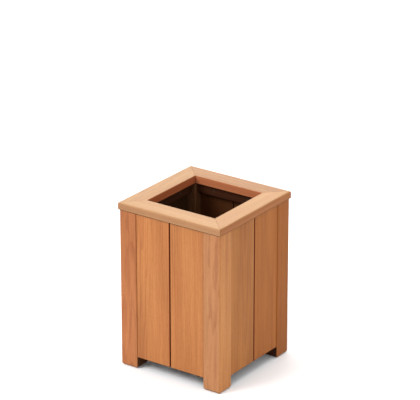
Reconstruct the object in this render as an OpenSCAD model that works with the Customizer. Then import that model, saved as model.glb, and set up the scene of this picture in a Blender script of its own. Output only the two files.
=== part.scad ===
// Square timber planter on four corner posts. The walls are tongued and grooved boards housed in the
// posts, screwed from inside to rails that are tenoned into the posts. Spaced slats make a drained
// floor, and a mitred frame caps the top. Millimetres, +Z up, origin on the floor under the centre.
// The front wall faces -Y, and every wall is the front one turned about Z.

/* [Overall] */
// Height from the floor to the top of the cap
overall_h = 390; // [300:5:700]
// Width of wall that one board covers
board_w = 90; // [70:1:120]
// Boards side by side in each wall
boards_per_side = 2; // [2:1:4]
// Height of the boards' lower ends above the floor
foot_gap = 27; // [15:1:60]

/* [Corner posts] */
// Width of each square post
post_w = 44; // [38:1:60]
// Radius of the post's outer corner
post_corner_r = 5; // [2:0.5:10]
// Chamfer on the post's other long edges, less than the foot's
post_ease = 1.2; // [0.5:0.1:1.5]
// Chamfer round the underside of each foot
foot_ease = 2; // [1.8:0.1:5]

/* [Wall boards] */
// Thickness of each board
board_t = 22; // [16:0.5:26]
// How far the boards' faces lie behind the posts' faces
board_set_back = 2; // [0:0.5:5]
// Open gap between the shoulders of two boards
board_gap = 2; // [0.6:0.1:2.5]
// Open gap between a board's shoulder and the post
post_gap = 0.4; // [0.2:0.1:1.5]
// Chamfer on the boards' outer long edges
board_ease = 1; // [0.4:0.1:1.1]
// Chamfer across the boards' lower ends, more than along their edges
board_end_ease = 1.6; // [1.4:0.1:3]
// Thickness of the tongues
tongue_t = 6; // [4:0.5:7]
// How far a tongue reaches past its shoulder
tongue_len = 7; // [5:0.5:9]
// Gap between the boards' upper ends and the cap
head_gap = 0.6; // [0.3:0.1:2]

/* [Rails] */
// Thickness of the rails under the cap
top_rail_t = 12; // [11:0.5:18]
// Height of the rails under the cap
top_rail_h = 24; // [20:1:50]
// Height of the rails under the floor slats
base_rail_h = 30; // [28:1:50]
// Height of the base rails above the boards' lower ends
base_rail_lift = 5; // [2:1:15]
// Thickness of the rails' tenons
tenon_t = 8; // [6:0.5:8]
// Distance from the rail's outer face to its tenon
tenon_inset = 2; // [1:0.5:3]
// Shoulder above and below each tenon
tenon_shoulder = 6; // [4:0.5:8]
// Wood left in a post between two mortises
mortise_web = 2; // [1:0.5:4]

/* [Floor] */
// Number of floor slats
slat_count = 3; // [3:1:5]
// Thickness of the floor slats
slat_t = 14; // [10:1:20]
// Gap between the slats that lets water out
drain_gap = 8; // [5:1:14]
// Chamfer on the slats' upper long edges
slat_ease = 1.5; // [0.5:0.5:3]

/* [Cap] */
// Thickness of the cap frame
cap_t = 18; // [14:1:28]
// How far the cap reaches out past the posts
cap_overhang = 2; // [1:0.5:12]
// How far the cap reaches in past the posts
cap_lip = 0; // [0:0.5:10]
// Radius along the cap's upper outer edge
cap_round = 4; // [1:0.5:6]
// Radius along the cap's upper inner edge
cap_inner_round = 1.5; // [1:0.5:4]
// Chamfer along the cap's lower outer edge
cap_under_ease = 2; // [0.5:0.5:3]
// Hairline gap between the two faces of a mitre
mitre_gap = 0.3; // [0.1:0.1:0.8]
// Length of the biscuit that joins each mitre
biscuit_len = 47; // [40:1:50]
// Width of the biscuit
biscuit_w = 15; // [12:1:19]
// Thickness of the biscuit
biscuit_t = 4; // [3:0.5:5]

/* [Screws] */
// Diameter of the screws' shanks
screw_d = 4; // [3:0.5:5]
// Diameter of the countersunk heads
screw_head_d = 8; // [7:0.5:9]
// Thickness of a head's edge
head_rim_t = 0.4; // [0.2:0.1:0.6]
// Length of the point
screw_point = 5; // [3:0.5:6]
// Diameter of the blunted end of the point
point_tip_d = 0.6; // [0.4:0.1:1]
// Depth of the cross in each head
drive_depth = 1.6; // [1:0.1:2]
// Width of each slot of the cross
drive_w = 0.9; // [0.6:0.1:1.4]
// Length of each slot of the cross
drive_span = 4.4; // [3:0.2:5]
// Wood left in front of a wall screw's point
wall_screw_cover = 5; // [4:0.5:8]
// How far the floor screws go into the base rails
floor_screw_bite = 14; // [10:0.5:15]
// Wood left above a cap screw's point
cap_screw_cover = 6; // [4:0.5:8]
// Distance from a post to the nearest cap screw
cap_screw_inset = 20; // [15:1:28]
// Height of the lower wall screws above the base rails' undersides
low_screw_lift = 8; // [6:0.5:9]

/* [Fits] */
// Clearance on each side of a tongue in its groove
tongue_clear = 0.2; // [0.1:0.05:0.4]
// Clearance past the end of a tongue or a tenon
end_clear = 0.6; // [0.3:0.1:1]
// Clearance on each side of a tenon in its mortise
tenon_clear = 0.15; // [0.05:0.05:0.3]
// Clearance round the floor slats
slat_clear = 0.8; // [0.4:0.1:2]
// Clearance round a biscuit in its pocket
biscuit_clear = 0.15; // [0.05:0.05:0.3]
// Clearance round a screw in its hole
screw_clear = 0.08; // [0.05:0.01:0.15]

/* [Hidden] */
$fn = 48;
past = 1;          // how far a cutter runs past the face that it opens
sides = ["front", "right", "back", "left"];
corners = ["front_right", "back_right", "back_left", "front_left"];

// Plan: half widths measured from the centre to each plane of the front wall
half_wall = boards_per_side * board_w / 2;
half_post = half_wall + post_w;
board_face = half_post - board_set_back;
board_back = board_face - board_t;
board_mid = board_face - board_t / 2;
top_rail_back = board_back - top_rail_t;
top_rail_mid = board_back - top_rail_t / 2;
base_rail_back = half_wall;
base_rail_t = board_back - base_rail_back;
base_rail_mid = board_back - base_rail_t / 2;
tenon_face = board_back - tenon_inset;
cap_face = half_post + cap_overhang;
cap_back = half_wall - cap_lip;
cap_mid = (cap_face + cap_back) / 2;
mortise_depth = tenon_face - tenon_t - half_wall - mortise_web;
tenon_len = mortise_depth - end_clear;

// Heights
post_h = overall_h - cap_t;
board_top = post_h - head_gap;
top_rail_z = post_h - top_rail_h;
base_rail_z = foot_gap + base_rail_lift;
slat_z = base_rail_z + base_rail_h;

// Floor slats, which run from front to back
floor_half = board_back - slat_clear;
slat_w = (2 * floor_half - (slat_count - 1) * drain_gap) / slat_count;

// Screws
head_cone = (screw_head_d - screw_d) / 2;
top_screw_len = top_rail_t + board_t - wall_screw_cover;
base_screw_len = base_rail_t + board_t - wall_screw_cover;
floor_screw_len = slat_t + floor_screw_bite;
cap_screw_len = top_rail_h + cap_t - cap_screw_cover;
base_screws = [base_rail_back, base_rail_z + low_screw_lift, base_screw_len];
top_screws = [top_rail_back, top_rail_z + top_rail_h / 2, top_screw_len];

// Colours
post_colour = [0.79, 0.55, 0.38];
board_colour = [0.76, 0.48, 0.30];
cap_colour = [0.90, 0.70, 0.50];
inner_colour = [0.58, 0.33, 0.20];
biscuit_colour = [0.85, 0.72, 0.52];
screw_colour = [0.36, 0.25, 0.18];

board_numbers = [0 : boards_per_side - 1];
slat_numbers = [0 : slat_count - 1];

function board_name(side, i) = str(side, "_board_", i + 1);
function slat_name(i) = str("floor_slat_", i + 1);
function board_left(i) = -half_wall + i * board_w + (i == 0 ? post_gap : board_gap / 2);
function board_right(i) =
    -half_wall + (i + 1) * board_w - (i == boards_per_side - 1 ? post_gap : board_gap / 2);
function slat_x(i) = -floor_half + i * (slat_w + drain_gap);
function on_all_sides(ending) = [for (side = sides) str(side, ending)];

// Turns what is drawn for the front wall to wall k, counted anticlockwise from above
module on_wall(k) rotate([0, 0, 90 * k]) children();

// A bar along X with a 45 degree face, which chamfers an edge that runs through the origin
module chamfer_bar(length, size)
    rotate([45, 0, 0]) cube([length, size * sqrt(2), size * sqrt(2)], center = true);

// What is left of a square corner at the origin outside a quarter circle
module corner_waste(radius) difference() {
    translate([-past, -past]) square(radius + past);
    translate([radius, radius]) circle(radius);
}

// A right-angled sliver at the origin that eases a square corner
module corner_sliver(size) polygon([[-past, -past], [size + past, -past], [-past, size + past]]);

// Countersunk screw, head upwards, with its head's face at the origin
module screw(length) difference() {
    union() {
        translate([0, 0, -head_rim_t]) cylinder(h = head_rim_t, d = screw_head_d);
        translate([0, 0, -head_rim_t - head_cone]) cylinder(h = head_cone, d1 = screw_d, d2 = screw_head_d);
        translate([0, 0, screw_point - length]) cylinder(h = length - screw_point - head_rim_t, d = screw_d);
        translate([0, 0, -length]) cylinder(h = screw_point, d1 = point_tip_d, d2 = screw_d);
    }
    for (turn = [0, 90])
        rotate([0, 0, turn]) translate([-drive_span / 2, -drive_w / 2, -drive_depth])
            cube([drive_span, drive_w, drive_depth + past]);
}

// The hole that the screw above fits, open above its head
module screw_hole(length, above = past) {
    seat_d = screw_head_d + 2 * screw_clear;
    hole_d = screw_d + 2 * screw_clear;
    translate([0, 0, -head_rim_t]) cylinder(h = head_rim_t + above, d = seat_d);
    translate([0, 0, -head_rim_t - head_cone]) cylinder(h = head_cone, d1 = hole_d, d2 = seat_d);
    translate([0, 0, -length - end_clear]) cylinder(h = length, d = hole_d);
}

// Places for the screws of one wall, each pointing outwards. A row gives the plane of the rail's inner
// face, the height and the length, which what is drawn there reads as $screw_len.
module at_wall_screws(numbers, rows)
    for (i = numbers) for (row = rows) {
        $screw_len = row[2];
        translate([-half_wall + (i + 0.5) * board_w, -row[0], row[1]]) rotate([-90, 0, 0]) children();
    }

// Places for the cap screws of one wall, each pointing up from the rail's underside
module at_cap_screws()
    for (x = [-1, 1] * (half_wall - cap_screw_inset))
        translate([x, -top_rail_mid, top_rail_z]) rotate([180, 0, 0]) children();

// Places for the screws at the two ends of floor slat i
module at_slat_screws(i)
    for (y = [-1, 1] * base_rail_mid)
        translate([slat_x(i) + slat_w / 2, y, slat_z + slat_t]) children();

// Room that the right-hand end of a wall needs in its post: a groove for the board's tongue, open at
// the top and stopped above the foot, and a mortise for each rail
module wall_end_housing() {
    groove_t = tongue_t + 2 * tongue_clear;
    translate([half_wall - past, -board_mid - groove_t / 2, foot_gap - end_clear])
        cube([tongue_len - post_gap + end_clear + past, groove_t, post_h]);
    for (rail = [[base_rail_z, base_rail_h], [top_rail_z, top_rail_h]])
        translate([
            half_wall - past,
            -tenon_face - tenon_clear,
            rail[0] + tenon_shoulder - tenon_clear
        ])
            cube([
                mortise_depth + past,
                tenon_t + 2 * tenon_clear,
                rail[1] - 2 * tenon_shoulder + 2 * tenon_clear
            ]);
}

module post_section() translate([half_wall, -half_post]) difference() {
    square(post_w);
    translate([post_w, 0]) mirror([1, 0]) corner_waste(post_corner_r);
    corner_sliver(post_ease);
    translate([0, post_w]) mirror([0, 1]) corner_sliver(post_ease);
    translate([post_w, post_w]) mirror([1, 0]) mirror([0, 1]) corner_sliver(post_ease);
}

module post() color(post_colour) difference() {
    linear_extrude(post_h) post_section();
    wall_end_housing();
    rotate([0, 0, 90]) mirror([1, 0, 0]) wall_end_housing();
    translate([half_wall + post_w / 2, -half_wall - post_w / 2, 0])
        for (turn = [0 : 90 : 270])
            rotate([0, 0, turn]) translate([0, post_w / 2, 0]) chamfer_bar(post_w + 2 * past, foot_ease);
}

// Board i of a wall. Its left edge has a tongue in the post or a groove for its neighbour's tongue.
module board_section(i) {
    left = board_left(i);
    right = board_right(i);
    width = right - left;
    groove_t = tongue_t + 2 * tongue_clear;
    groove_depth = tongue_len - board_gap + end_clear;
    difference() {
        translate([left, -board_face]) square([width, board_t]);
        translate([left, -board_face]) corner_sliver(board_ease);
        translate([right, -board_face]) mirror([1, 0]) corner_sliver(board_ease);
        if (i > 0)
            translate([left - past, -board_mid - groove_t / 2]) square([groove_depth + past, groove_t]);
    }
    translate([right - past, -board_mid - tongue_t / 2]) square([tongue_len + past, tongue_t]);
    if (i == 0)
        translate([left - tongue_len, -board_mid - tongue_t / 2]) square([tongue_len + past, tongue_t]);
}

module board(i) color(board_colour) difference() {
    translate([0, 0, foot_gap]) linear_extrude(board_top - foot_gap) board_section(i);
    translate([0, -board_face, foot_gap]) chamfer_bar(2 * half_post, board_end_ease);
    at_wall_screws([i], [base_screws, top_screws]) screw_hole($screw_len);
}

// A rail from post to post, with its two stub tenons
module rail_blank(z, thickness, height) {
    translate([-half_wall, -board_back, z]) cube([2 * half_wall, thickness, height]);
    translate([-half_wall - tenon_len, -tenon_face, z + tenon_shoulder])
        cube([2 * (half_wall + tenon_len), tenon_t, height - 2 * tenon_shoulder]);
}

module top_rail() color(inner_colour) difference() {
    rail_blank(top_rail_z, top_rail_t, top_rail_h);
    at_wall_screws(board_numbers, [top_screws]) screw_hole($screw_len);
    at_cap_screws() screw_hole(cap_screw_len);
}

// The front and back base rails also take the screws of the floor slats
module base_rail(k) color(inner_colour) difference() {
    rail_blank(base_rail_z, base_rail_t, base_rail_h);
    at_wall_screws(board_numbers, [base_screws]) screw_hole($screw_len);
    if (k % 2 == 0) on_wall(-k) for (i = slat_numbers) at_slat_screws(i) screw_hole(floor_screw_len);
}

// Floor slat i, from wall to wall. The outer two are notched round the posts.
module floor_slat(i) color(inner_colour) difference() {
    translate([slat_x(i), floor_half, slat_z]) rotate([90, 0, 0]) linear_extrude(2 * floor_half)
        difference() {
            square([slat_w, slat_t]);
            translate([0, slat_t]) mirror([0, 1]) corner_sliver(slat_ease);
            translate([slat_w, slat_t]) mirror([1, 0]) mirror([0, 1]) corner_sliver(slat_ease);
        }
    for (turn = [0 : 90 : 270])
        rotate([0, 0, turn]) translate([half_wall - slat_clear, half_wall - slat_clear, slat_z - past])
            cube([post_w, post_w, slat_t + 2 * past]);
    at_slat_screws(i) screw_hole(floor_screw_len);
}

// The cap's section, from its outer edge at the left to its inner edge
module cap_section() translate([-cap_face, post_h]) difference() {
    square([cap_face - cap_back, cap_t]);
    corner_sliver(cap_under_ease);
    translate([0, cap_t]) mirror([0, 1]) corner_waste(cap_round);
    translate([cap_face - cap_back, cap_t]) mirror([1, 0]) mirror([0, 1]) corner_waste(cap_inner_round);
}

// A biscuit's outline, pointed at both ends, on the mitre line at the front right corner
module biscuit(clear) {
    arc_r = (pow(biscuit_len / 2, 2) + pow(biscuit_w / 2, 2)) / biscuit_w;
    arc_offset = arc_r - biscuit_w / 2;
    translate([cap_mid, -cap_mid, post_h + cap_t / 2 - biscuit_t / 2 - clear]) rotate([0, 0, 45])
        linear_extrude(biscuit_t + 2 * clear) intersection() {
            translate([arc_offset, 0]) circle(arc_r + clear);
            translate([-arc_offset, 0]) circle(arc_r + clear);
        }
}

module cap_rail() color(cap_colour) difference() {
    intersection() {
        translate([-cap_face, 0, 0]) rotate([90, 0, 90]) linear_extrude(2 * cap_face) cap_section();
        mitred_wedge();
    }
    biscuit(biscuit_clear);
    mirror([1, 0, 0]) biscuit(biscuit_clear);
    at_cap_screws() screw_hole(cap_screw_len);
}

// The quarter of the plan that belongs to the front wall, less half of each mitre's gap
module mitred_wedge() {
    reach = 2 * cap_face;
    apex = mitre_gap / sqrt(2);
    translate([0, 0, post_h - past]) linear_extrude(cap_t + 2 * past)
        polygon([[0, -apex], [reach, -reach - apex], [-reach, -reach - apex]]);
}

module mitre_biscuits() color(biscuit_colour) for (k = [0 : 3]) on_wall(k) biscuit(0);

module wall_screws() color(screw_colour)
    at_wall_screws(board_numbers, [base_screws, top_screws]) screw($screw_len);

module floor_screws() color(screw_colour) for (i = slat_numbers) at_slat_screws(i) screw(floor_screw_len);

module cap_screws() color(screw_colour) for (k = [0 : 3]) on_wall(k) at_cap_screws() screw(cap_screw_len);

for (k = [0 : 3]) {
    on_wall(k) post();
    for (i = board_numbers) on_wall(k) board(i);
    on_wall(k) top_rail();
    on_wall(k) base_rail(k);
    on_wall(k) cap_rail();
    on_wall(k) wall_screws();
}
for (i = slat_numbers) floor_slat(i);
mitre_biscuits();
floor_screws();
cap_screws();
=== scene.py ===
"""Finishes the small square timber planter: eased and grained timber, screws, light and camera."""

import math
import random
from functools import partial

import bmesh
import bpy
from mathutils import Matrix, Quaternion, Vector


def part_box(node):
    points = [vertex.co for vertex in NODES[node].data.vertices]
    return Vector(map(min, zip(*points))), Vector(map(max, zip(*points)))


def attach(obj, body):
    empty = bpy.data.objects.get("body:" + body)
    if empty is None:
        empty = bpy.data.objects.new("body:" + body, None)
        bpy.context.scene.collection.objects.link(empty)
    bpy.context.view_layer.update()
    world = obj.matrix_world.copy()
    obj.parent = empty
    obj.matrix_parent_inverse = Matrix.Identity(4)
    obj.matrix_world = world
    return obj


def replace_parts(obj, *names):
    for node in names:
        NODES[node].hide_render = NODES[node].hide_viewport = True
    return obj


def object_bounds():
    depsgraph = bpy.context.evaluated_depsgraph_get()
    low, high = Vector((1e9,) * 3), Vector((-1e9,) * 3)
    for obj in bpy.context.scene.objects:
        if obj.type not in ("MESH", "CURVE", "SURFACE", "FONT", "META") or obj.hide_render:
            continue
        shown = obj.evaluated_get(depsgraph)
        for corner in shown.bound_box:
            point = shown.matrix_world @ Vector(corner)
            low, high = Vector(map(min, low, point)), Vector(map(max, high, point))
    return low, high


bl_info = {
    "name": "Timber planter",
    "version": (1, 0, 0),
    "blender": (4, 5, 0),
    "location": "View3D > Sidebar > Planter",
    "description": "Dresses the timber planter round its packed frame",
    "category": "Object",
}

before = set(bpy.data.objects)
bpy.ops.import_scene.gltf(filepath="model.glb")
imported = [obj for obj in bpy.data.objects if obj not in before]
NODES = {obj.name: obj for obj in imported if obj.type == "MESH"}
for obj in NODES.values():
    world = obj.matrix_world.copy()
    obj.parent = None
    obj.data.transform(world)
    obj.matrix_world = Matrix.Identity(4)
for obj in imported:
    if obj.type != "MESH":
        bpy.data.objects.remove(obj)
CAD_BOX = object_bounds()
FOOT_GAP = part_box("front_board_1")[0].z
SIDES = ("front", "right", "back", "left")
CORNERS = ("front_right", "back_right", "back_left", "front_left")
AXES = {"X": Vector((1, 0, 0)), "Y": Vector((0, 1, 0)), "Z": Vector((0, 0, 1))}
OUTWARD = {"front": -AXES["Y"], "right": AXES["X"], "back": AXES["Y"], "left": -AXES["X"]}

# Meshes: how close corners merge, and the angles that part flat, smooth and sharp edges
MM = 0.001
WELD = 0.002 * MM
FLAT_ANGLE = math.radians(1)
SHARP_ANGLE = math.radians(30)
SMOOTH_ANGLE = math.radians(40)

# Easing of the sawn edges
SHORTEST_ARRIS = 3 * MM
ARRIS_FACES = 2

# The rounds along the upper edges of the cap: radius and number of faces
CAP_ROUND = (4 * MM, 8)
CAP_INNER_ROUND = (1.5 * MM, 4)

# How far below the round a mitre is cut, and how far from the mitre its faces may be
CUT_MARGIN = 1.5 * MM
MITRE_REACH = 0.5 * MM

# The chamfer round the underside of each foot, in the frame and as it is worn, and the painted
# shade on it
CAD_FOOT_CHAMFER = 2 * MM
FOOT_CHAMFER = 4.5 * MM
FOOT_CHAMFER_SHADE = 0.35

# Parts of a face's normal. Over the first two, a post's face belongs to its round, and a face
# is end grain. Under the other two, a face looks down, and an underside is level.
ROUND_PART = 0.02
END_GRAIN_PART = 0.8
DOWN_PART = -0.3
LEVEL_PART = -0.9

# Where a piece lies in its log, in metres: from the pith, to the side, and along the trunk
PITH_DISTANCE = (70 * MM, 150 * MM)
PITH_SIDE = (-20 * MM, 20 * MM)
TRUNK_PLACE = (0, 9)
GRAIN_LEAN = math.radians(0.6)

# The head and neck of a screw. The plain neck has its share of the length.
HEAD_R = 4 * MM
HEAD_EASE = 0.15 * MM
HEAD_RIM = 0.4 * MM
HEAD_CONE = 2 * MM
NECK_R = 1.75 * MM
NECK_FLARE = 0.25 * MM
NECK_FLARE_ABOVE = 0.3 * MM
NECK_FLARE_BELOW = 0.2 * MM
NECK_SHARE = 0.36
SCREW_STEPS = 32

# Its core and point. The shoulder has shares of the core's radius and the point's length.
CORE_R = 1.35 * MM
CORE_STEP = 0.6 * MM
POINT = 5 * MM
SHOULDER = (0.55, 0.4)

# Its thread
THREAD_R = 1.98 * MM
THREAD_PITCH = 1.8 * MM
THREAD_STEPS = 14
THREAD_START = 1.2 * MM
THREAD_HALF = 0.32 * MM
THREAD_SINK = 0.2 * MM

# Its cross recess, whose floor has a share of its width
RECESS_SPAN = 4.4 * MM
RECESS_WIDTH = 0.9 * MM
RECESS_DEPTH = 1.6 * MM
RECESS_FLOOR = 0.6

# How red, green and blue turn with warmth
WARMTH = (0.25, -0.45, -0.7)

# The timber's tones from the darkest streak to the lightest: place, lightness and warmth.
# The others are the lightness and warmth of its pores, its arrises and the painted sheen on its
# upper faces.
TONES = ((0.0, 0.50, 0.25), (0.3, 0.80, 0.10), (0.5, 1, 0), (0.75, 1.2, -0.12), (1.0, 1.42, -0.25))
PORE_TONE = (0.34, 0.3)
ARRIS_TONE = (1.35, -0.1)
PAINTED_SHEEN_TONES = ((0.8, 0.1), (1.2, -0.1))

# What the timber's colour is multiplied by
COOL_TINT = (0.96, 1.03, 1.05, 1)
WARM_TINT = (1.04, 0.97, 0.95, 1)
END_GRAIN_TINT = (0.50, 0.42, 0.38, 1)
# Painted shade on inner, hidden and downward faces
PAINTED_SHADE_TINT = (0.12, 0.09, 0.06, 1)
# Painted shade in the joints at the middle of the walls
JOINT_SHADE_TINT = (0.45, 0.225, 0.08)

# How much of its colour a pore, an arris and end grain show
PORE_SHARE = 0.42
ARRIS_SHARE = 0.22
END_GRAIN_SHARE = 0.62

# How far the rings wander, in millimetres, and how uneven they are, in rings
RING_WANDER = 14
RING_UNEVENNESS = 1.6

# The oil on the timber
OIL_IOR = 1.47
OIL_GLOSS = 0.15

# The screws' coating, and the steel where it is scuffed through
COATING = ((0.05, 0.022, 0.011, 1), (0.085, 0.038, 0.019, 1))
SCUFFED_STEEL = (0.22, 0.16, 0.12, 1)

# The colour sockets of a Mix node, which shares their names with other kinds of value
MIX_FIRST, MIX_SECOND, MIX_RESULT = 6, 7, 2


# Sizes and colours that a user would change


class TimberSettings(bpy.types.PropertyGroup):
    """How the timber is eased, grained and coloured."""

    arris: bpy.props.FloatProperty(
        name="Arris",
        description="Width of the easing along each sawn edge",
        default=0.35 * MM,
        min=0.1 * MM,
        max=1 * MM,
        subtype="DISTANCE",
        unit="LENGTH",
    )
    ring_pitch: bpy.props.FloatProperty(
        name="Ring pitch",
        description="Mean width of a growth ring, in millimetres",
        default=2.3,
        min=0.8,
        max=6,
    )
    board_colour: bpy.props.FloatVectorProperty(
        name="Boards",
        description="Colour of the wall boards",
        subtype="COLOR",
        size=3,
        default=(0.415, 0.156, 0.049),
        min=0,
        max=1,
    )
    post_colour: bpy.props.FloatVectorProperty(
        name="Posts",
        description="Colour of the corner posts",
        subtype="COLOR",
        size=3,
        default=(0.392, 0.171, 0.0705),
        min=0,
        max=1,
    )
    cap_colour: bpy.props.FloatVectorProperty(
        name="Cap",
        description="Colour of the cap frame",
        subtype="COLOR",
        size=3,
        default=(0.357, 0.183, 0.0844),
        min=0,
        max=1,
    )
    # Painted sheen: the cap's upper faces are mixed towards this colour in place of the top light's
    # sheen
    painted_sheen_colour: bpy.props.FloatVectorProperty(
        name="Painted cap sheen",
        description="Colour of the painted sheen on the upper faces of the cap",
        subtype="COLOR",
        size=3,
        default=(0.532, 0.311, 0.153),
        min=0,
        max=1,
    )
    inner_colour: bpy.props.FloatVectorProperty(
        name="Rails and slats",
        description="Colour of the rails and the floor slats",
        subtype="COLOR",
        size=3,
        default=(0.268, 0.094, 0.0375),
        min=0,
        max=1,
    )
    biscuit_colour: bpy.props.FloatVectorProperty(
        name="Biscuits",
        description="Colour of the pressed beech biscuits",
        subtype="COLOR",
        size=3,
        default=(0.536, 0.357, 0.196),
        min=0,
        max=1,
    )


class StudioSettings(bpy.types.PropertyGroup):
    """The floor, the light and the camera."""

    floor_colour: bpy.props.FloatVectorProperty(
        name="Floor",
        description="Colour of the floor",
        subtype="COLOR",
        size=3,
        default=(0.98, 0.98, 0.98),
        min=0,
        max=1,
    )
    azimuth: bpy.props.FloatProperty(
        name="Azimuth",
        description="Turn of the camera round the planter, from straight in front",
        default=math.radians(35.25),
        subtype="ANGLE",
    )
    elevation: bpy.props.FloatProperty(
        name="Elevation",
        description="Height of the camera above the horizon",
        default=math.radians(22.0),
        subtype="ANGLE",
    )
    distance: bpy.props.FloatProperty(
        name="Distance",
        description="Distance from the camera to the planter",
        default=5.44,
        subtype="DISTANCE",
        unit="LENGTH",
    )
    aside: bpy.props.FloatProperty(
        name="Aside",
        description="How far the planter stands to the left of the middle of the view",
        default=0.0111,
        subtype="DISTANCE",
        unit="LENGTH",
    )
    below: bpy.props.FloatProperty(
        name="Below",
        description="How far the planter stands below the middle of the view",
        default=0.1729,
        subtype="DISTANCE",
        unit="LENGTH",
    )
    lens: bpy.props.FloatProperty(
        name="Lens",
        description="Focal length on a 36 mm wide sensor, in millimetres",
        default=210.6,
        min=20,
        max=400,
    )


# Shader maths


class Value:
    """A shader output that Python's arithmetic works on."""

    def __init__(self, graph, socket):
        self.graph = graph
        self.socket = socket

    def math(self, operation, *others):
        """What a Math node makes of this value and the others."""
        return self.graph.math(operation, self, *others)

    def __add__(self, other):
        return self.math("ADD", other)

    __radd__ = __add__

    def __sub__(self, other):
        return self.math("SUBTRACT", other)

    def __rsub__(self, other):
        return self.graph.math("SUBTRACT", other, self)

    def __mul__(self, other):
        return self.math("MULTIPLY", other)

    __rmul__ = __mul__

    def __truediv__(self, other):
        return self.math("DIVIDE", other)

    def __pow__(self, other):
        return self.math("POWER", other)

    def clamped(self):
        """This value, kept from 0 to 1."""
        return self.graph.node("ShaderNodeClamp", {}, {"Value": self})


class Graph:
    """The node tree of one new material."""

    def __init__(self, name):
        self.material = bpy.data.materials.new(name)
        self.material.use_nodes = True
        self.tree = self.material.node_tree
        self.tree.nodes.clear()

    def node(self, kind, settings, sockets, output=0):
        """Adds a node as add does. Returns one of its outputs."""
        return Value(self, self.add(kind, settings, sockets).outputs[output])

    def add(self, kind, settings, sockets):
        """Adds a node, sets it up and gives its sockets values or links. Returns the node."""
        made = self.tree.nodes.new(kind)
        for name, value in settings.items():
            if name == "stops":
                self.set_stops(made.color_ramp, value)
            else:
                setattr(made, name, value)
        for name, value in sockets.items():
            if isinstance(value, Value):
                self.tree.links.new(value.socket, made.inputs[name])
            else:
                made.inputs[name].default_value = value
        return made

    @staticmethod
    def set_stops(ramp, stops):
        """Gives a colour ramp its stops, each a place and a colour."""
        while len(ramp.elements) < len(stops):
            ramp.elements.new(1)
        for element, (place, colour) in zip(ramp.elements, stops):
            element.position = place
            element.color = (*colour, 1)

    def math(self, operation, *values):
        """What a Math node makes of the values."""
        return self.node("ShaderNodeMath", {"operation": operation}, dict(enumerate(values)))

    def ramp(self, value, low, high):
        """0 below low, 1 above high and smooth in between."""
        return self.node(
            "ShaderNodeMapRange",
            {"interpolation_type": "SMOOTHSTEP"},
            {"Value": value, "From Min": low, "From Max": high},
        )

    def scaled(self, vector, factors):
        """The vector times a number for each axis."""
        return self.node(
            "ShaderNodeVectorMath", {"operation": "MULTIPLY"}, {0: vector, 1: factors}
        )

    def noise(self, vector, size, stretch=1, detail=2, roughness=0.5):
        """Noise from 0 to 1, with grains of one size that are drawn out along the third axis."""
        step = 1 / size
        return self.node(
            "ShaderNodeTexNoise",
            {},
            {
                "Vector": self.scaled(vector, (step, step, step / stretch)),
                "Scale": 1,
                "Detail": detail,
                "Roughness": roughness,
            },
        )

    def mix(self, factor, first, second, blend="MIX"):
        """Mixes two colours."""
        return self.node(
            "ShaderNodeMix",
            {"data_type": "RGBA", "blend_type": blend},
            {"Factor": factor, MIX_FIRST: first, MIX_SECOND: second},
            output=MIX_RESULT,
        )

    def attribute(self, name, output="Fac"):
        """What the mesh says under a name at each point."""
        return self.node("ShaderNodeAttribute", {"attribute_name": name}, {}, output)

    def finish(self, shader):
        """Links the shader to the material's output and returns the material."""
        self.add("ShaderNodeOutputMaterial", {}, {"Surface": shader})
        return self.material


def tinted(colour, factor, warmth=0.0):
    """The colour made lighter or darker, and warmer or cooler."""
    return tuple(part * factor * (1 + turn * warmth) for part, turn in zip(colour, WARMTH))


def late_wood_bands(graph, log, ring_pitch):
    """Growth rings round the pith, a little wavy, each darker towards its outer side."""
    axes = graph.add("ShaderNodeSeparateXYZ", {}, {"Vector": log})
    across, through, _ = (Value(graph, axis) for axis in axes.outputs)
    wander = graph.noise(log, size=45, stretch=9, detail=3) * RING_WANDER
    radius = (across * across + through * through) ** 0.5 + wander
    uneven = graph.noise(log, size=16, stretch=30, detail=1) * RING_UNEVENNESS
    ring = (radius / ring_pitch + uneven).math("FRACT")
    return graph.ramp(ring, 0.35, 0.9) * (1 - graph.ramp(ring, 0.93, 1.0))


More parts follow.
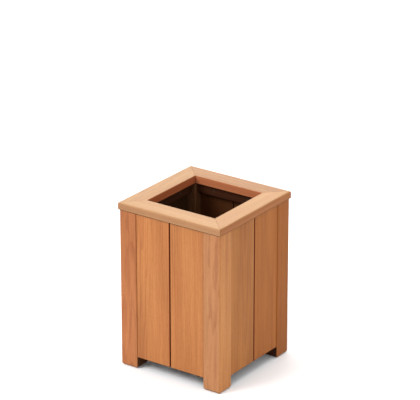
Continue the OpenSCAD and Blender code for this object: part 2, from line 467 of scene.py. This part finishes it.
def timber_material(name, colour, contrast, pore_depth, roughness, saw_marks=0.0):
    """Straight-grained, open-pored hardwood with a thin oil finish. It reads the piece's own log
    coordinates, in millimetres, and the marks on its faces, among them painted shade, light and
    sheen."""
    graph = Graph(name)
    settings = bpy.context.scene.planter_timber
    log = graph.scaled(graph.attribute("log", "Vector"), (1 / MM,) * 3)
    end_grain = graph.attribute("end_grain")
    sealed = graph.attribute("sealed")

    # Rings, ribbons of interlocked grain, slow changes of colour and fine dark pores
    late_wood = late_wood_bands(graph, log, settings.ring_pitch)
    ribbon = graph.noise(log, size=7, stretch=60, detail=2, roughness=0.6)
    drift = graph.noise(log, size=38, stretch=10, detail=2)
    streak = graph.noise(log, size=2.2, stretch=45, detail=3, roughness=0.65)
    fibre = graph.noise(log, size=0.5, stretch=40, detail=2)
    pores = graph.ramp(graph.noise(log, size=0.42, stretch=26, detail=1), 0.6, 0.74)

    # The tone that they add up to, from 0 for dark to 1 for light
    tone = (
        0.5
        + (ribbon - 0.5) * (0.9 * contrast)
        + (drift - 0.5) * (1.1 * contrast)
        + (streak - 0.5) * (0.9 * contrast)
        + (fibre - 0.5) * (0.35 * contrast)
        - late_wood * (0.34 * contrast)
    ).clamped()
    stops = [(place, tinted(colour, factor, warmth)) for place, factor, warmth in TONES]
    timber = graph.node("ShaderNodeValToRGB", {"stops": stops}, {"Fac": tone})
    hue = ((graph.noise(log, size=60, stretch=6, detail=1) - 0.5) * 0.9 + 0.5).clamped()
    timber = graph.mix(1.0, timber, graph.mix(hue, COOL_TINT, WARM_TINT), "MULTIPLY")
    timber = graph.mix(pores * PORE_SHARE, timber, (*tinted(colour, *PORE_TONE), 1))

    # What the faces' marks do to it: worn arrises, end grain, painted shade, the piece's tone with
    # painted light and shade, and painted sheen on upper faces
    arris = graph.attribute("arris") * ARRIS_SHARE
    timber = graph.mix(arris, timber, (*tinted(colour, *ARRIS_TONE), 1))
    timber = graph.mix(end_grain * END_GRAIN_SHARE, timber, END_GRAIN_TINT, "MULTIPLY")
    # Painted shade on inner, hidden and downward faces
    timber = graph.mix(sealed, timber, PAINTED_SHADE_TINT, "MULTIPLY")
    # The piece's tone, with painted light and shade on some sides and in the joints
    timber = graph.mix(1.0, timber, graph.attribute("tint", "Vector"), "MULTIPLY")
    # Painted sheen on the upper faces, mixed towards the paler sheen colour
    sheen_colours = [(*tinted(settings.painted_sheen_colour[:], *shade), 1) for shade in PAINTED_SHEEN_TONES]
    bleached = graph.attribute("bleached") * (1 - pores * 0.3)
    timber = graph.mix(bleached, timber, graph.mix(tone, *sheen_colours))

    rough = (
        roughness
        + pores * 0.16
        + end_grain * 0.2
        + sealed * 0.12
        + (streak - 0.5) * 0.12
        - late_wood * 0.05
    )
    height = (fibre - 0.5) * 0.02 - pores * pore_depth - late_wood * 0.012 + (streak - 0.5) * 0.03
    if saw_marks:
        marks = graph.noise(graph.scaled(log, (0.06, 0.06, 1)), size=1.6, detail=2)
        height = height + (marks - 0.5) * saw_marks
    normal = graph.node(
        "ShaderNodeBump", {}, {"Strength": 1.0, "Distance": MM, "Height": height}
    )
    shader = graph.node(
        "ShaderNodeBsdfPrincipled",
        {},
        {
            "Base Color": timber,
            "Roughness": rough,
            "Normal": normal,
            "IOR": OIL_IOR,
            "Specular IOR Level": OIL_GLOSS,
        },
    )
    return graph.finish(shader)


def screw_material():
    """Steel with a brown coating, which the driver has scuffed through in a few places."""
    graph = Graph("coated_screws")
    place = graph.scaled(graph.node("ShaderNodeTexCoord", {}, {}, "Object"), (1 / MM,) * 3)
    mottle = graph.noise(place, size=1.4, detail=3)
    flecks = graph.noise(place, size=0.3, detail=3, roughness=0.7)
    scuffed = graph.ramp(flecks, 0.69, 0.77)
    colour = graph.mix(scuffed, graph.mix(mottle, *COATING), SCUFFED_STEEL)
    normal = graph.node(
        "ShaderNodeBump", {}, {"Strength": 0.4, "Distance": 0.02 * MM, "Height": flecks}
    )
    shader = graph.node(
        "ShaderNodeBsdfPrincipled",
        {},
        {
            "Base Color": colour,
            "Metallic": scuffed * 0.9,
            "Roughness": 0.52 + mottle * 0.2 - scuffed * 0.15,
            "Specular IOR Level": 0.12,
            "Normal": normal,
        },
    )
    return graph.finish(shader)


def floor_material(colour):
    """Matt white paper, with the faintest mottle."""
    graph = Graph("studio_floor")
    place = graph.node("ShaderNodeTexCoord", {}, {}, "Object")
    mottle = graph.noise(place, size=0.6, detail=3)
    tone = graph.mix(mottle, (*tinted(colour, 0.985), 1), (*colour, 1))
    shader = graph.node(
        "ShaderNodeBsdfPrincipled",
        {},
        {"Base Color": tone, "Roughness": 0.9, "Specular IOR Level": 0.1},
    )
    return graph.finish(shader)


# Timber pieces


def merged_copy(node):
    """A CAD node's mesh with its corners merged."""
    bm = bmesh.new()
    bm.from_mesh(NODES[node].data)
    bmesh.ops.remove_doubles(bm, verts=bm.verts[:], dist=WELD)
    return bm


def make_faces_whole(bm):
    """Merges corners that coincide and faces that lie in one plane."""
    bmesh.ops.remove_doubles(bm, verts=bm.verts[:], dist=WELD)
    bmesh.ops.dissolve_limit(bm, angle_limit=FLAT_ANGLE, verts=bm.verts[:], edges=bm.edges[:])


def cut_level(bm, faces, height):
    """Cuts the faces through at one height."""
    edges = {edge for face in faces for edge in face.edges}
    verts = {vertex for face in faces for vertex in face.verts}
    geom = [*faces, *edges, *verts]
    bmesh.ops.bisect_plane(bm, geom=geom, plane_co=(0, 0, height), plane_no=AXES["Z"])


def bevel(bm, edges, width, segments):
    """Bevels the edges round. Returns the new faces."""
    return bmesh.ops.bevel(
        bm,
        geom=edges,
        offset=width,
        offset_type="OFFSET",
        segments=segments,
        profile=0.5,
        affect="EDGES",
        clamp_overlap=True,
        material=-1,
    )["faces"]


def mitre_faces(bm, across):
    """The faces that lie in one mitre. Across is the direction through it."""
    return [
        face
        for face in bm.faces
        if all(abs(vertex.co.dot(across)) < MITRE_REACH for vertex in face.verts)
    ]


def round_cap_edges(bm, outward):
    """Makes the two rounds of a cap rail anew, as even bevels that end in its mitres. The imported
    mesh divides their arcs unevenly at the two ends."""
    along_rail = AXES["Z"].cross(outward)
    top = max(vertex.co.z for vertex in bm.verts)
    depths = [vertex.co.dot(outward) for vertex in bm.verts]
    rounds = ((max(depths), *CAP_ROUND), (min(depths), *CAP_INNER_ROUND))

    # The old rounds go back to square corners, along the mitres
    for depth, radius, _ in rounds:
        for vertex in bm.verts:
            short = depth - vertex.co.dot(outward)
            if abs(short) < radius + WELD and vertex.co.z > top - radius - WELD:
                end = math.copysign(1, vertex.co.dot(along_rail))
                vertex.co += (outward + along_rail * end) * short
                vertex.co.z = top
    make_faces_whole(bm)

    # Above the biscuit's pocket each mitre becomes one plain face, where bevels end cleanly
    level = top - CAP_ROUND[0] - CUT_MARGIN
    for end in (1, -1):
        across = along_rail * end - outward
        cut_level(bm, mitre_faces(bm, across), level)
        above = [face for face in mitre_faces(bm, across) if face.calc_center_median().z > level]
        bmesh.ops.dissolve_faces(bm, faces=above)

    rounded = bm.faces.layers.float.new("rounded")
    for depth, radius, segments in rounds:
        corner = [
            edge
            for edge in bm.edges
            if all(
                abs(vertex.co.dot(outward) - depth) + abs(vertex.co.z - top) < WELD
                for vertex in edge.verts
            )
        ]
        for face in bevel(bm, corner, radius, segments):
            face[rounded] = 1


def widen_foot_chamfer(bm):
    """Widens the chamfer round the underside of a foot."""
    more = FOOT_CHAMFER - CAD_FOOT_CHAMFER
    places = [vertex.co for vertex in bm.verts]
    middle = [(min(axis) + max(axis)) / 2 for axis in zip(*places)]
    for place in places:
        if place.z < WELD:
            place.x -= math.copysign(more, place.x - middle[0])
            place.y -= math.copysign(more, place.y - middle[1])
        elif place.z < CAD_FOOT_CHAMFER + WELD:
            place.z += more


def shape_post(bm):
    """Widens the foot's chamfer and marks the faces of the round down the outer corner."""
    make_faces_whole(bm)
    widen_foot_chamfer(bm)
    rounded = bm.faces.layers.float.new("rounded")
    for face in bm.faces:
        face[rounded] = min(abs(face.normal.x), abs(face.normal.y)) > ROUND_PART


def ease_arrises(bm, width):
    """Rounds every outer edge, but for short ones that belong to no round. Marks the new faces."""
    arris = bm.faces.layers.float.new("arris")
    rounded = bm.faces.layers.float.get("rounded")
    edges = [
        edge
        for edge in bm.edges
        if edge.is_manifold
        and edge.is_convex
        and edge.calc_face_angle() > SHARP_ANGLE
        and (
            edge.calc_length() > SHORTEST_ARRIS
            or (rounded and any(face[rounded] for face in edge.link_faces))
        )
    ]
    for face in bevel(bm, edges, width, ARRIS_FACES):
        face[arris] = 1
    bmesh.ops.remove_doubles(bm, verts=bm.verts[:], dist=WELD)


def lay_grain(bm, axis, seed):
    """Places the piece in a log of its own, and marks its end grain."""
    log = bm.verts.layers.float_vector.new("log")
    end_grain = bm.faces.layers.float.new("end_grain")
    rng = random.Random(seed)
    upright = AXES[axis].rotation_difference(AXES["Z"])
    spin = Quaternion(AXES["Z"], rng.uniform(0, math.tau))
    lean = Quaternion(Vector((rng.uniform(-1, 1), rng.uniform(-1, 1), 0)), GRAIN_LEAN)
    turn = (lean @ spin @ upright).to_matrix()
    place = Vector([rng.uniform(*reach) for reach in (PITH_DISTANCE, PITH_SIDE, TRUNK_PLACE)])
    for vertex in bm.verts:
        vertex[log] = turn @ vertex.co + place
    for face in bm.faces:
        face[end_grain] = abs(face.normal.dot(AXES[axis])) > END_GRAIN_PART


def lay_tone_and_painted_light(bm, tint, painted_side_light=None, joint=0.0):
    """Gives the piece its tone, with painted light and shade. A direction and a factor paint light
    or shade on the faces that look that way, and joint is how far the painted shade of the joint at
    a wall's middle reaches to each side."""
    tone_and_painted_light_layer = bm.faces.layers.float_vector.new("tint")
    for face in bm.faces:
        factors = Vector(tint)
        # Painted light or shade on the faces that look one way
        if painted_side_light:
            direction, other = painted_side_light
            factors = factors.lerp(Vector(other), max(0, face.normal.dot(direction)) ** 2)
        place = face.calc_center_median()
        if min(abs(place.x), abs(place.y)) < joint:
            # Painted shade in the gap of the joint
            factors *= Vector(JOINT_SHADE_TINT)
        face[tone_and_painted_light_layer] = factors


def paint_sheen_on_top(bm, amount):
    """Marks the upper faces for a painted sheen, strongest where they are level."""
    bleached = bm.faces.layers.float.new("bleached")
    for face in bm.faces:
        face[bleached] = amount * max(0, face.normal.z) ** 2


def paint_inner_shade(bm, depth=0, amount=0.9, foot_depth=None, foot_amount=1.0):
    """Marks the faces that get painted shade: those deeper than depth behind the outer faces of
    the cap, and those that look down. The feet of a post have a depth and an amount of their
    own, and their outer chamfers get less painted shade."""
    if foot_depth is not None:
        cut_level(bm, bm.faces[:], FOOT_GAP)
    sealed = bm.faces.layers.float.new("sealed")
    for face in bm.faces:
        place = face.calc_center_median()
        behind = CAD_BOX[1].x - max(abs(place.x), abs(place.y))
        on_foot = foot_depth is not None and place.z < FOOT_GAP
        if on_foot and behind > foot_depth:
            face[sealed] = foot_amount
        elif face.normal.z < DOWN_PART:
            face[sealed] = FOOT_CHAMFER_SHADE if on_foot and face.normal.z > LEVEL_PART else 1
        elif behind > depth:
            face[sealed] = amount


def add_object(bm, name, material):
    """Makes the bmesh an object that rides on the planter."""
    mesh = bpy.data.meshes.new(name)
    bm.normal_update()
    bm.to_mesh(mesh)
    bm.free()
    mesh.materials.append(material)
    mesh.shade_smooth()
    mesh.set_sharp_from_angle(angle=SMOOTH_ANGLE)
    piece = bpy.data.objects.new(name, mesh)
    bpy.context.scene.collection.objects.link(piece)
    weighted = piece.modifiers.new("flat faces stay flat", "WEIGHTED_NORMAL")
    weighted.keep_sharp = True
    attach(piece, "root")
    return piece


def add_timber(
    node,
    axis,
    seed,
    material,
    prepare=make_faces_whole,
    tint=(1, 1, 1),
    painted_side_light=None,
    joint=0.0,
    sealed=None,
    painted_sheen_amount=0.0,
):
    """Adds the finished form of one timber node, with its grain along an axis and a seed for its
    log. Prepare readies its faces for the easing, and the settings of its painted shade are passed
    on to the function that marks it."""
    bm = merged_copy(node)
    prepare(bm)
    ease_arrises(bm, bpy.context.scene.planter_timber.arris)
    lay_grain(bm, axis, seed)
    lay_tone_and_painted_light(bm, tint, painted_side_light, joint)
    paint_inner_shade(bm, **(sealed or {}))
    paint_sheen_on_top(bm, painted_sheen_amount)
    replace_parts(add_object(bm, node + "_timber", material), node)


# Screws


def islands(bm):
    """The places of the bmesh's vertices, one list for each solid."""
    found = set()
    for first in bm.verts:
        if first in found:
            continue
        found.add(first)
        island = [first]
        for vertex in island:
            for edge in vertex.link_edges:
                other = edge.other_vert(vertex)
                if other not in found:
                    found.add(other)
                    island.append(other)
        yield [vertex.co.copy() for vertex in island]


def screw_places(node):
    """Yields for each screw of a node the matrix that takes it there from the origin, where it
    stands head up, and its length."""
    bm = merged_copy(node)
    for points in islands(bm):
        low = Vector([min(axis) for axis in zip(*points)])
        high = Vector([max(axis) for axis in zip(*points)])
        size = high - low
        length = max(size)
        shaft = list(size).index(length)
        middle = (low + high) / 2

        # The head is at the end that is widest across the shaft
        spans = [point - middle for point in points]
        widest = max(spans, key=lambda span: span.length_squared - span[shaft] ** 2)
        up = Vector((0, 0, 0))
        up[shaft] = math.copysign(1, widest[shaft])
        turn = AXES["Z"].rotation_difference(up).to_matrix().to_4x4()
        yield Matrix.Translation(middle + up * (length / 2)) @ turn, length
    bm.free()


def ring_of(bm, points):
    """Joins the points into a closed loop. Returns its vertices and edges."""
    verts = [bm.verts.new(point) for point in points]
    return verts, [bm.edges.new(pair) for pair in zip(verts, verts[1:] + verts[:1])]


def spin_round_shaft(bm, verts, edges, turns, steps, **options):
    """Spins the outline round the shaft of a screw. Returns what it ends in."""
    return bmesh.ops.spin(
        bm,
        geom=verts + edges,
        cent=(0, 0, 0),
        axis=AXES["Z"],
        angle=math.tau * turns,
        steps=steps,
        **options,
    )["geom_last"]


def turn_body(bm, length):
    """Turns the body of a screw, from the rim of its open head down to its point."""
    neck_end = length * NECK_SHARE
    cone_end = HEAD_RIM + HEAD_CONE
    profile = (
        (HEAD_R - HEAD_EASE, 0),
        (HEAD_R, -HEAD_EASE),
        (HEAD_R, -HEAD_RIM),
        (NECK_R + NECK_FLARE, NECK_FLARE_ABOVE - cone_end),
        (NECK_R, -NECK_FLARE_BELOW - cone_end),
        (NECK_R, -neck_end),
        (CORE_R, -neck_end - CORE_STEP),
        (CORE_R, POINT - length),
        (CORE_R * SHOULDER[0], POINT * SHOULDER[1] - length),
        (0, -length),
    )
    verts = [bm.verts.new((radius, 0, height)) for radius, height in profile]
    edges = [bm.edges.new(pair) for pair in zip(verts, verts[1:])]
    spin_round_shaft(bm, verts, edges, 1, SCREW_STEPS, use_merge=True)
    bmesh.ops.remove_doubles(bm, verts=bm.verts[:], dist=WELD)


def sink_recess(bm):
    """Closes the open head of a screw round a cross recess, which narrows towards its floor."""
    rim = [edge for edge in bm.edges if edge.is_boundary]
    arm, half = RECESS_SPAN / 2, RECESS_WIDTH / 2
    quarter = ((arm, -half, 0), (arm, half, 0), (half, half, 0))
    turns = [Matrix.Rotation(math.pi / 2 * i, 3, "Z") for i in range(4)]
    _, cross = ring_of(bm, [turn @ Vector(point) for turn in turns for point in quarter])
    walls = bmesh.ops.extrude_edge_only(bm, edges=cross)["geom"]
    floor = [item for item in walls if isinstance(item, bmesh.types.BMVert)]
    floor_edges = [
        item
        for item in walls
        if isinstance(item, bmesh.types.BMEdge) and all(vertex in floor for vertex in item.verts)
    ]
    bmesh.ops.scale(bm, vec=(RECESS_FLOOR, RECESS_FLOOR, 1), verts=floor)
    bmesh.ops.translate(bm, vec=(0, 0, -RECESS_DEPTH), verts=floor)
    bmesh.ops.contextual_create(bm, geom=floor_edges)
    bmesh.ops.triangle_fill(bm, edges=rim + cross, use_beauty=True)


def wind_thread(bm, length):
    """Winds a ridge down the core of a screw. It is closed, and starts inside the core."""
    winds = round((length * (1 - NECK_SHARE) - POINT) / THREAD_PITCH)
    top = -length * NECK_SHARE - THREAD_START
    root = CORE_R - THREAD_SINK
    verts, edges = ring_of(
        bm, ((root, 0, top + THREAD_HALF), (THREAD_R, 0, top), (root, 0, top - THREAD_HALF))
    )
    steps = THREAD_STEPS * winds
    drop = (0, 0, -THREAD_PITCH / THREAD_STEPS)
    last = spin_round_shaft(bm, verts, edges, winds, steps, dvec=drop)
    ends = edges + [item for item in last if isinstance(item, bmesh.types.BMEdge)]
    bmesh.ops.holes_fill(bm, edges=ends, sides=3)


def add_screw(bm, length, place):
    """Adds a countersunk screw with a cross recess, a plain neck and a thread."""
    screw = bmesh.new()
    turn_body(screw, length)
    sink_recess(screw)
    wind_thread(screw, length)
    bmesh.ops.recalc_face_normals(screw, faces=screw.faces[:])
    screw.transform(place)
    made = bpy.data.meshes.new("screw")
    screw.to_mesh(made)
    screw.free()
    bm.from_mesh(made)
    bpy.data.meshes.remove(made)


# The planter's pieces


def along(side):
    """The grain axis of a rail that lies along a side."""
    return "X" if side in ("front", "back") else "Y"


class PLANTER_OT_posts(bpy.types.Operator):
    """Adds the four corner posts"""

    bl_idname = "planter.posts"
    bl_label = "Corner posts"

    FIRST_SEED = 11
    INSIDE_DEPTH = 12 * MM
    FOOT_DEPTH = 6 * MM
    # Each post's tone; the back right post's darker, yellower tone is partly painted shade
    TONES_WITH_PAINTED_SHADE = {
        "front_right": (1, 1, 1),
        "back_right": (0.93, 0.80, 0.58),
        "back_left": (0.96, 0.96, 0.96),
        "front_left": (0.962, 0.786, 0.67),
    }
    # Painted light and shade on the faces that look one way: lighter on the front posts, darker on
    # the back right post
    PAINTED_SIDE_LIGHT = {
        "front_right": (AXES["X"], (1.15, 1.09, 0.81)),
        "back_right": (AXES["X"], (0.75, 0.52, 0.16)),
        "front_left": (AXES["X"], (1.1, 0.97, 0.88)),
    }
    # How much painted shade the inner faces and the hidden faces of the feet get
    SHADE_AMOUNTS = {
        "front_right": (0.9, 1.0),
        "back_right": (0.9, 1.0),
        "back_left": (0.67, 1.0),
        "front_left": (0.9, 0.93),
    }

    def execute(self, context):
        timber = context.scene.planter_timber
        material = timber_material(
            "post_timber", timber.post_colour[:], contrast=0.5, pore_depth=0.04, roughness=0.5
        )
        for seed, corner in enumerate(CORNERS, self.FIRST_SEED):
            inside, foot = self.SHADE_AMOUNTS[corner]
            add_timber(
                corner + "_post",
                "Z",
                seed,
                material,
                prepare=shape_post,
                tint=self.TONES_WITH_PAINTED_SHADE[corner],
                painted_side_light=self.PAINTED_SIDE_LIGHT.get(corner),
                sealed={
                    "depth": self.INSIDE_DEPTH,
                    "amount": inside,
                    "foot_depth": self.FOOT_DEPTH,
                    "foot_amount": foot,
                },
            )
        return {"FINISHED"}


class PLANTER_OT_boards(bpy.types.Operator):
    """Adds the tongued and grooved wall boards"""

    bl_idname = "planter.boards"
    bl_label = "Wall boards"

    FIRST_SEED = 31
    INSIDE_DEPTH = 6 * MM
    JOINT_REACH = 3 * MM
    # Each board's tone; the right boards' darker, yellower tones are partly painted shade
    TONES_WITH_PAINTED_SHADE = {
        "front_board_1": (1, 1, 1),
        "front_board_2": (1, 1, 1),
        "right_board_1": (0.85, 0.835, 0.62),
        "right_board_2": (0.835, 0.715, 0.385),
        "back_board_1": (1.05, 1.05, 1.05),
        "back_board_2": (0.953, 0.888, 0.865),
        "left_board_1": (0.975, 1.045, 1.07),
        "left_board_2": (1.063, 1.026, 1.013),
    }
    # Painted shade on the inner faces of the left wall
    PAINTED_SIDE_LIGHT = {
        "left_board_1": (AXES["X"], (0.6, 0.85, 0.95)),
        "left_board_2": (AXES["X"], (0.6, 0.8, 0.85)),
    }

    def execute(self, context):
        timber = context.scene.planter_timber
        material = timber_material(
            "board_timber", timber.board_colour[:], contrast=0.48, pore_depth=0.05, roughness=0.5
        )
        for seed, (node, tint) in enumerate(self.TONES_WITH_PAINTED_SHADE.items(), self.FIRST_SEED):
            add_timber(
                node,
                "Z",
                seed,
                material,
                tint=tint,
                painted_side_light=self.PAINTED_SIDE_LIGHT.get(node),
                joint=self.JOINT_REACH,
                sealed={"depth": self.INSIDE_DEPTH},
            )
        return {"FINISHED"}


class PLANTER_OT_cap(bpy.types.Operator):
    """Adds the four mitred rails of the cap"""

    bl_idname = "planter.cap"
    bl_label = "Cap frame"

    FIRST_SEED = 51
    INSIDE_DEPTH = 60 * MM
    # Each rail's tone; the right rail's darker, yellower tone is partly painted shade
    TONES_WITH_PAINTED_SHADE = {
        "front": (1, 1, 1),
        "right": (0.92, 0.655, 0.426),
        "back": (0.974, 0.907, 0.884),
        "left": (0.97, 0.97, 0.97),
    }
    # Painted light and shade on the inner edges: a reddish bounce, lightest on the back rail and
    # darkest on the left
    PAINTED_SIDE_LIGHT = {
        "front": (AXES["Y"], (1.2, 0.75, 0.6)),
        "right": (-AXES["X"], (1.2, 0.75, 0.6)),
        "back": (-AXES["Y"], (1.44, 0.94, 0.85)),
        "left": (AXES["X"], (1.08, 0.58, 0.43)),
    }
    # How strong the painted sheen on the upper faces is
    PAINTED_SHEEN_AMOUNTS = {"front": 0.7, "right": 0.76, "back": 0.34, "left": 0.44}

    def execute(self, context):
        timber = context.scene.planter_timber
        material = timber_material(
            "cap_timber", timber.cap_colour[:], contrast=0.5, pore_depth=0.05, roughness=0.48
        )
        for seed, side in enumerate(SIDES, self.FIRST_SEED):
            add_timber(
                side + "_cap_rail",
                along(side),
                seed,
                material,
                prepare=partial(round_cap_edges, outward=OUTWARD[side]),
                tint=self.TONES_WITH_PAINTED_SHADE[side],
                painted_side_light=self.PAINTED_SIDE_LIGHT[side],
                sealed={"depth": self.INSIDE_DEPTH},
                painted_sheen_amount=self.PAINTED_SHEEN_AMOUNTS[side],
            )
        return {"FINISHED"}


class PLANTER_OT_inside(bpy.types.Operator):
    """Adds the rails behind the boards and the floor slats"""

    bl_idname = "planter.inside"
    bl_label = "Rails and floor slats"

    FIRST_SEED = 71
    LIGHTNESS = (0.9, 1.1)
    WARMTHS = (-0.1, 0.1)

    def execute(self, context):
        timber = context.scene.planter_timber
        material = timber_material(
            "inner_timber",
            timber.inner_colour[:],
            contrast=0.7,
            pore_depth=0.06,
            roughness=0.6,
            saw_marks=0.06,
        )
        pieces = [
            (f"{side}_{level}_rail", along(side)) for level in ("top", "base") for side in SIDES
        ]
        pieces += [(node, "Y") for node in sorted(NODES) if node.startswith("floor_slat_")]
        rng = random.Random(self.FIRST_SEED)
        for seed, (node, axis) in enumerate(pieces, self.FIRST_SEED):
            tint = tinted((1, 1, 1), rng.uniform(*self.LIGHTNESS), rng.uniform(*self.WARMTHS))
            # These pieces all lie inside, so every face gets the default painted shade
            add_timber(node, axis, seed, material, tint=tint)
        return {"FINISHED"}


class PLANTER_OT_screws(bpy.types.Operator):
    """Adds the countersunk screws in the walls, the floor and the cap"""

    bl_idname = "planter.screws"
    bl_label = "Screws"

    def execute(self, context):
        material = screw_material()
        for node in sorted(NODES):
            if node.endswith("_screws"):
                bm = bmesh.new()
                for place, length in screw_places(node):
                    add_screw(bm, length, place)
                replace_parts(add_object(bm, node + "_coated", material), node)
        return {"FINISHED"}


class PLANTER_OT_biscuits(bpy.types.Operator):
    """Adds the biscuits that join the mitres"""

    bl_idname = "planter.biscuits"
    bl_label = "Mitre biscuits"

    SEED = 91

    def execute(self, context):
        timber = context.scene.planter_timber
        material = timber_material(
            "biscuit_beech", timber.biscuit_colour[:], contrast=0.35, pore_depth=0.02, roughness=0.7
        )
        # The hidden biscuits get the default painted shade as well
        add_timber("mitre_biscuits", "X", self.SEED, material)
        return {"FINISHED"}


# The floor, the light and the camera


class PLANTER_OT_stage(bpy.types.Operator):
    """Adds the floor, the studio light and the camera"""

    bl_idname = "planter.stage"
    bl_label = "Floor, light and camera"

    FLOOR_SIZE = 14
    FLOOR_SQUARES = 8
    WORLD_LIGHT = 0.784
    SENSOR_WIDTH = 36
    FAR_CLIP = 100
    # The name, place, width and power of each light
    LIGHTS = (
        ("key_light", (-1.5, -2.3, 2.7), 1.8, 89.6),
        ("fill_light", (2.6, -1.2, 1.5), 1.8, 11.2),
        ("top_light", (0.4, 0.6, 3.2), 2.4, 41.4),
        ("back_light", (-1.6, 2.3, 1.5), 1.8, 22.4),
    )

    def execute(self, context):
        studio = context.scene.planter_studio
        self.lay_floor(studio)
        self.set_world(context.scene)
        for name, place, width, power in self.LIGHTS:
            self.hang_light(name, Vector(place), width, power)
        context.scene.camera = self.place_camera(studio)
        context.scene.view_settings.view_transform = "Standard"
        return {"FINISHED"}

    def lay_floor(self, studio):
        """Lays the floor under the planter."""
        bm = bmesh.new()
        bmesh.ops.create_grid(
            bm,
            x_segments=self.FLOOR_SQUARES,
            y_segments=self.FLOOR_SQUARES,
            size=self.FLOOR_SIZE / 2,
        )
        mesh = bpy.data.meshes.new("studio_floor")
        bm.to_mesh(mesh)
        bm.free()
        mesh.materials.append(floor_material(studio.floor_colour[:]))
        floor = bpy.data.objects.new("studio_floor", mesh)
        bpy.context.scene.collection.objects.link(floor)

    def set_world(self, scene):
        """Surrounds the scene with even white light."""
        scene.world = bpy.data.worlds.new("white_studio")
        scene.world.use_nodes = True
        background = scene.world.node_tree.nodes["Background"]
        background.inputs["Color"].default_value = (1, 1, 1, 1)
        background.inputs["Strength"].default_value = self.WORLD_LIGHT

    @staticmethod
    def hang_light(name, place, width, power):
        """Hangs a square light that is aimed at the middle of the planter."""
        light = bpy.data.lights.new(name, "AREA")
        light.shape = "SQUARE"
        light.size = width
        light.energy = power
        lamp = bpy.data.objects.new(name, light)
        lamp.location = place
        aim = Vector((0, 0, CAD_BOX[1].z / 2)) - place
        lamp.rotation_mode = "QUATERNION"
        lamp.rotation_quaternion = aim.to_track_quat("-Z", "Y")
        bpy.context.scene.collection.objects.link(lamp)

    def place_camera(self, studio):
        """Adds the camera. It looks past the planter, which stands off the middle of the view."""
        turn, rise = studio.azimuth, studio.elevation
        back = Vector(
            (math.sin(turn) * math.cos(rise), -math.cos(turn) * math.cos(rise), math.sin(rise))
        )
        right = Vector((math.cos(turn), math.sin(turn), 0))
        up = back.cross(right)
        centre = (CAD_BOX[0] + CAD_BOX[1]) / 2
        data = bpy.data.cameras.new("photo_camera")
        data.sensor_fit = "HORIZONTAL"
        data.sensor_width = self.SENSOR_WIDTH
        data.lens = studio.lens
        data.clip_end = self.FAR_CLIP
        camera = bpy.data.objects.new("photo_camera", data)
        place = centre + right * studio.aside + up * studio.below + back * studio.distance
        turned = Matrix((right, up, back)).transposed().to_4x4()
        camera.matrix_world = Matrix.Translation(place) @ turned
        bpy.context.scene.collection.objects.link(camera)
        return camera


class PLANTER_PT_panel(bpy.types.Panel):
    """Lists the planter's pieces"""

    bl_idname = "PLANTER_PT_panel"
    bl_label = "Timber planter"
    bl_space_type = "VIEW_3D"
    bl_region_type = "UI"
    bl_category = "Planter"

    def draw(self, context):
        for settings in (context.scene.planter_timber, context.scene.planter_studio):
            for name in settings.bl_rna.properties.keys():
                if name not in ("rna_type", "name"):
                    self.layout.prop(settings, name)
        for operator in OPERATORS:
            self.layout.operator(operator.bl_idname)


OPERATORS = (
    PLANTER_OT_stage,
    PLANTER_OT_posts,
    PLANTER_OT_boards,
    PLANTER_OT_cap,
    PLANTER_OT_inside,
    PLANTER_OT_biscuits,
    PLANTER_OT_screws,
)
CLASSES = (TimberSettings, StudioSettings, *OPERATORS, PLANTER_PT_panel)


def register():
    for cls in CLASSES:
        bpy.utils.register_class(cls)
    bpy.types.Scene.planter_timber = bpy.props.PointerProperty(type=TimberSettings)
    bpy.types.Scene.planter_studio = bpy.props.PointerProperty(type=StudioSettings)


def unregister():
    del bpy.types.Scene.planter_studio
    del bpy.types.Scene.planter_timber
    for cls in reversed(CLASSES):
        bpy.utils.unregister_class(cls)


def main():
    register()
    bpy.ops.planter.stage()
    bpy.ops.planter.posts()
    bpy.ops.planter.boards()
    bpy.ops.planter.cap()
    bpy.ops.planter.inside()
    bpy.ops.planter.biscuits()
    bpy.ops.planter.screws()


if __name__ == "__main__":
    main()
